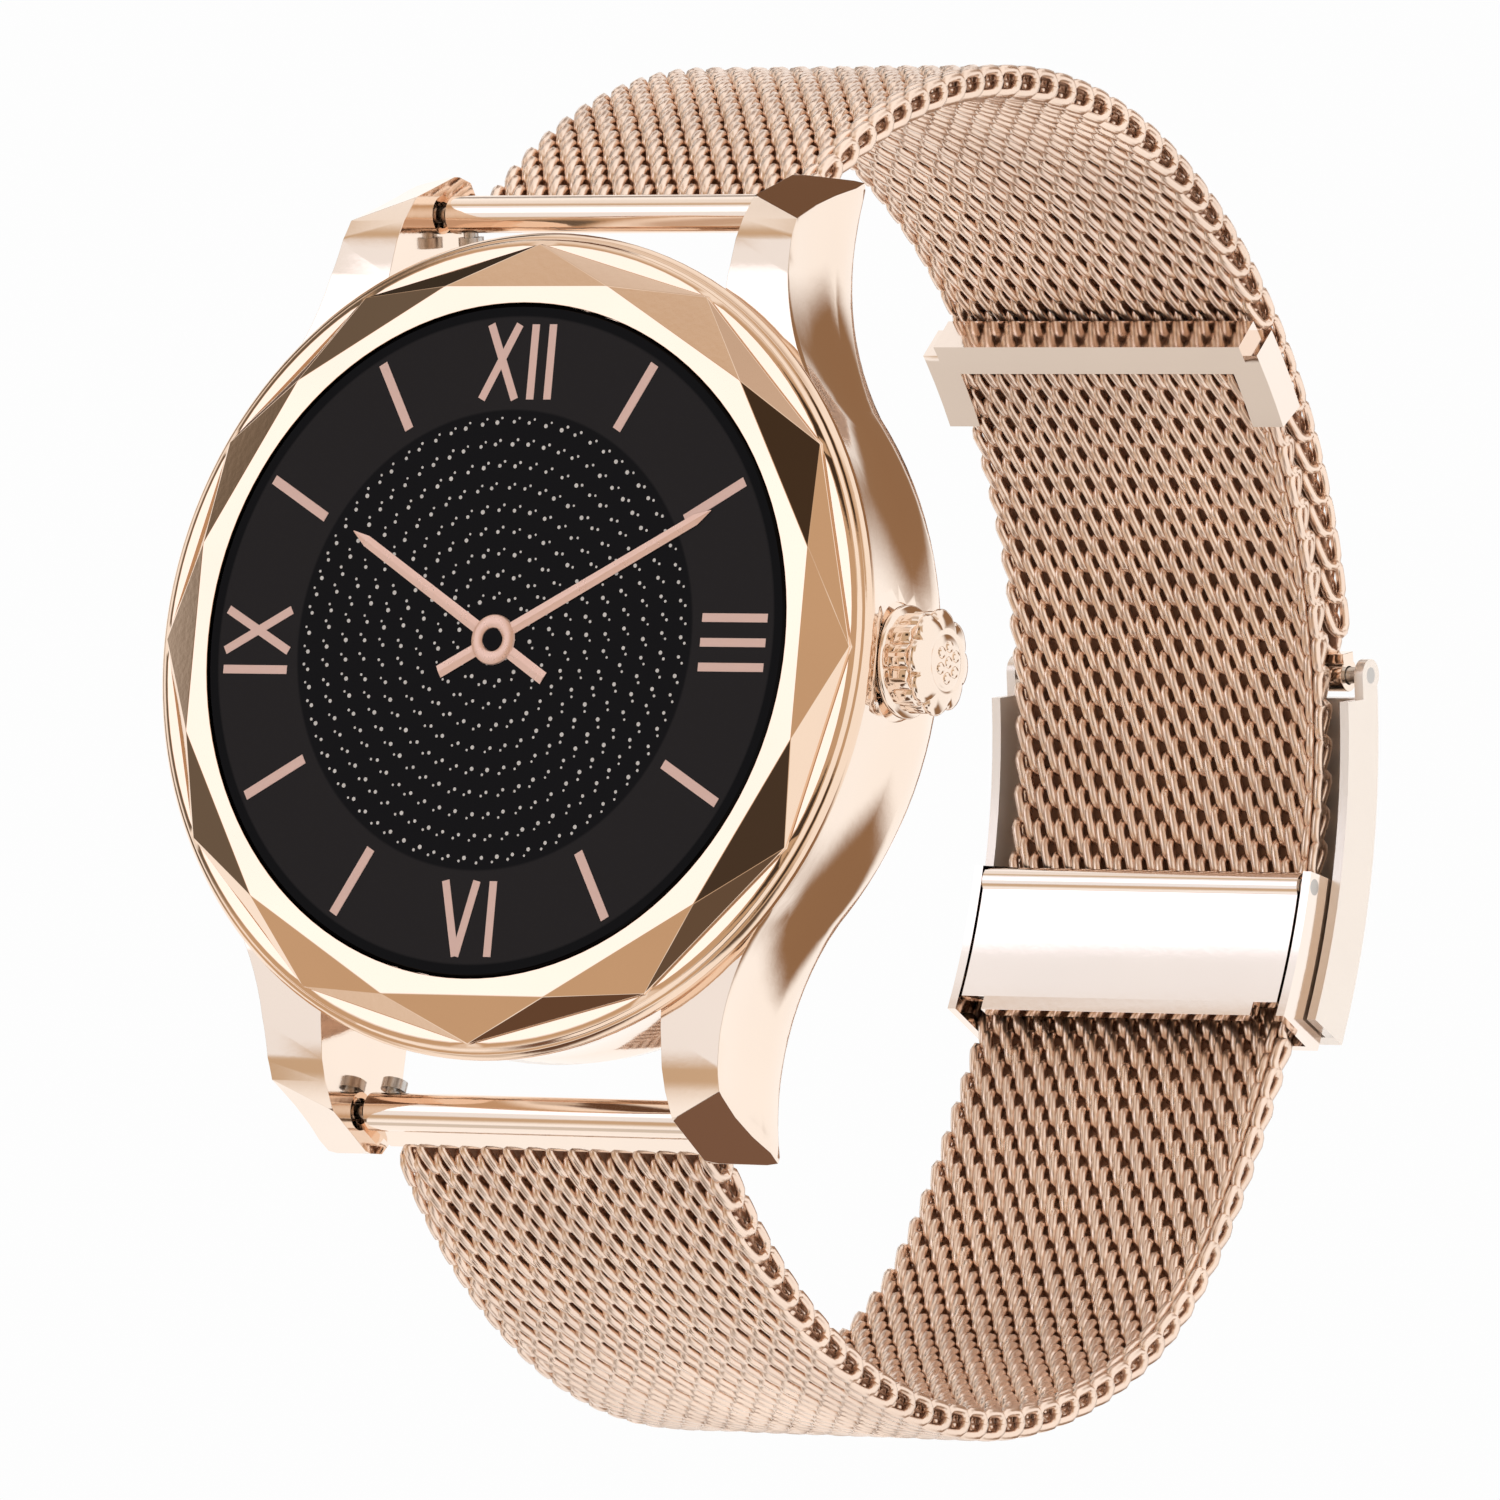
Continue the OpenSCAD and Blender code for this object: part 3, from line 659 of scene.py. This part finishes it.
def make_crown():
    knob = lobed_lathe("crown_barrel", [
        (19.62, 0.76, 0), (19.62, 1.72, 0), (18.66, 1.72, 0), (18.64, 2.4, 0), (18.68, 2.54, 0),
        (18.76, 2.6, 0), (18.96, 2.6, 0), (19.04, 2.52, 0), (19.08, 2.3, 0), (19.13, 2.2, 0.02),
        (19.18, 2.26, 0.1), (19.26, 2.36, 0.26), (20.1, 2.36, 0.26), (20.18, 2.26, 0.16),
        (20.22, 2.1, 0.02), (20.28, 2.05, 0),
        (20.3, 0.5, 0)], 12, mat_polish)
    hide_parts("crown_knob")
    cap = lobed_lathe("crown_dome", [
        (20.28, 0.5, 0), (20.28, 2.1, 0), (20.3, 2.3, 0.12), (20.36, 2.42, 0.3),
        (20.44, 2.47, 0.38), (20.56, 2.46, 0.38), (20.68, 2.36, 0.34), (20.8, 2.16, 0.26),
        (20.9, 1.9, 0.16), (20.97, 1.6, 0.06), (20.99, 1.42, 0), (20.95, 1.34, 0),
        (20.95, 1.28, 0), (20.99, 1.2, 0), (21.04, 0.9, 0), (21.06, 0.5, 0),
        (21.07, 0.2, 0)], 8, mat_polish)
    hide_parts("crown_cap")
    vertices, faces = [], []
    beads = [(0.0, 0.0)] + [(0.72, math.radians(60 * i)) for i in range(6)]
    profile = [(0.0, 0.3), (0.06, 0.29), (0.12, 0.26), (0.18, 0.19), (0.22, 0.11), (0.235, 0.04)]
    steps = 20
    for radius, turn in beads:
        cy, cz = -CROWN_Z + radius * math.sin(turn), radius * math.cos(turn)
        base = len(vertices)
        for height, r in profile:
            for i in range(steps):
                t = 2 * math.pi * i / steps
                vertices.append((20.99 + height, cy + r * math.sin(t), cz + r * math.cos(t)))
        faces += [tuple(base + k for k in f) for f in tube_faces(len(profile), steps)]
    dots = mesh_from("crown_beads", vertices, faces, mat_polish)
    for piece in (knob, cap, dots):
        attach(piece, "crown")


# ---- studio ----
# Soft boxes and dark flags round the object: (azimuth, elevation) of the middle, half width, half
# height and blur, all in degrees, and colour. Azimuth 0 is in front of the dial and 90 on the
# crown's side. Each one covers those before it.
BRONZE = (0.62, 0.45, 0.30)
CARDS = [
    ((-22, 4), 55, 44, 8, BRONZE),
    ((-36, 8), 13, 28, 4, (0.95, 0.95, 0.97)),
    ((-34, 14), 12, 12.5, 2, (1.40, 1.42, 1.55)),
    ((-15, 74), 26, 12, 8, (0.66, 0.54, 0.45)),
    ((7, 29), 9, 8, 2, (0.06, 0.04, 0.025)),
    ((8, -15), 9, 8, 2, (0.07, 0.05, 0.035)),
    ((-72, 14), 9, 26, 4, (0.16, 0.13, 0.10)),
    ((-109, 44), 9, 9, 3, (0.05, 0.04, 0.03)),
    ((-119, 24), 6, 6, 3, (0.16, 0.12, 0.10)),
    ((-42, -69), 16, 12, 4, (0.14, 0.08, 0.05)),
    ((39, -52), 16, 10, 4, (0.14, 0.10, 0.07)),
    ((56, 27), 10, 9, 3, BRONZE),
    ((-147, 52), 14, 9, 3, (0.17, 0.09, 0.05)),
    ((-146, -66), 14, 9, 3, (0.20, 0.11, 0.07)),
    ((-81, -57), 9, 8, 3, (0.72, 0.66, 0.60)),
    ((165, 31), 20, 13, 5, (0.30, 0.17, 0.09)),
    ((158, -28), 20, 12, 5, (0.30, 0.17, 0.09)),
]
ROOM = (1.08, 1.06, 1.04)
BACKDROP = 0.985


def card_mask(tree, direction, card):
    """1 inside a card as seen from the object, 0 outside, with a blurred border."""
    (azimuth, elevation), half_width, half_height, blur, _ = card
    az, el = math.radians(azimuth), math.radians(elevation)
    centre = facing(az, el)
    level = Vector((math.cos(az), math.sin(az), 0))
    upright = centre.cross(level)
    amounts = []
    for axis, half in ((level, half_width), (upright, half_height)):
        dot = tree.nodes.new("ShaderNodeVectorMath")
        dot.operation = "DOT_PRODUCT"
        dot.inputs[1].default_value = axis
        tree.links.new(direction, dot.inputs[0])
        size = tree.nodes.new("ShaderNodeMath")
        size.operation = "ABSOLUTE"
        tree.links.new(dot.outputs["Value"], size.inputs[0])
        fade = tree.nodes.new("ShaderNodeMapRange")
        fade.interpolation_type = "SMOOTHSTEP"
        fade.inputs["From Min"].default_value = math.sin(math.radians(max(0.1, half - blur)))
        fade.inputs["From Max"].default_value = math.sin(math.radians(half + blur))
        fade.inputs["To Min"].default_value, fade.inputs["To Max"].default_value = 1, 0
        tree.links.new(size.outputs[0], fade.inputs["Value"])
        amounts.append(fade.outputs["Result"])
    front = tree.nodes.new("ShaderNodeVectorMath")
    front.operation = "DOT_PRODUCT"
    front.inputs[1].default_value = centre
    tree.links.new(direction, front.inputs[0])
    ahead = tree.nodes.new("ShaderNodeMath")
    ahead.operation = "GREATER_THAN"
    ahead.inputs[1].default_value = 0
    tree.links.new(front.outputs["Value"], ahead.inputs[0])
    amounts.append(ahead.outputs[0])
    mask = amounts[0]
    for other in amounts[1:]:
        times = tree.nodes.new("ShaderNodeMath")
        times.operation = "MULTIPLY"
        tree.links.new(mask, times.inputs[0])
        tree.links.new(other, times.inputs[1])
        mask = times.outputs[0]
    return mask


def make_studio():
    world = bpy.data.worlds.new("studio")
    bpy.context.scene.world = world
    world.use_nodes = True
    tree = world.node_tree
    background = tree.nodes["Background"]
    coordinates = tree.nodes.new("ShaderNodeTexCoord")
    direction = coordinates.outputs["Generated"]
    colour = tree.nodes.new("ShaderNodeRGB")
    colour.outputs[0].default_value = (*ROOM, 1)
    colour = colour.outputs[0]
    for card in CARDS:
        mix = tree.nodes.new("ShaderNodeMix")
        mix.data_type = "RGBA"
        mix.inputs["B"].default_value = (0, 0, 0, 1)
        tree.links.new(card_mask(tree, direction, card), mix.inputs["Factor"])
        tree.links.new(colour, mix.inputs[6])
        mix.inputs[7].default_value = (*card[4], 1)
        colour = mix.outputs[2]
    seen = tree.nodes.new("ShaderNodeLightPath")
    mix = tree.nodes.new("ShaderNodeMix")
    mix.data_type = "RGBA"
    tree.links.new(seen.outputs["Is Camera Ray"], mix.inputs["Factor"])
    tree.links.new(colour, mix.inputs[6])
    mix.inputs[7].default_value = (BACKDROP, BACKDROP, BACKDROP, 1)
    tree.links.new(mix.outputs[2], background.inputs["Color"])
    bpy.context.scene.view_settings.view_transform = "Standard"

    half, z = FLOOR_HALF, FLOOR_Z
    floor = mesh_from("floor", [(-half, -half, z), (half, -half, z), (half, half, z), (-half, half, z)],
                      [(0, 1, 2, 3)],
                      surface("floor", (0.95, 0.96, 0.97), 0.7, tint=0.01, scale=40.0), smooth=False)
    floor.visible_glossy = False


# ---- putting it together ----
POLISHED = [
    ("case_middle", "case_polished", mat_polish, 0.10),
    ("bezel", "bezel_facets", mat_facet, 0.035),
    ("end_tube_upper", "clasp_polished", mat_polish, 0.04),
    ("end_tube_lower", "clasp_polished", mat_polish, 0.04),
    ("upper_end_bar", "clasp_polished", mat_polish, 0.04),
    ("tip_cap", "clasp_polished", mat_clasp, 0.07),
    ("clasp_base", "clasp_polished", mat_clasp, 0.06),
    ("lock_plate", "clasp_polished", mat_clasp, 0.07),
    ("clasp_lid", "clasp_polished", mat_lid_painted_light, 0.09),
]
for node, obj in frame["nodes"].items():
    obj.data.materials.clear()
    obj.data.materials.append(mat_glass if node == "cover_glass" else INNER.get(node, mat_polish))

add_camera()
for node, slot, material, width in POLISHED:
    polish(node, slot, material, width)
make_strap()
make_marks()
make_sparkles()
make_hands()
make_crown()
make_studio()
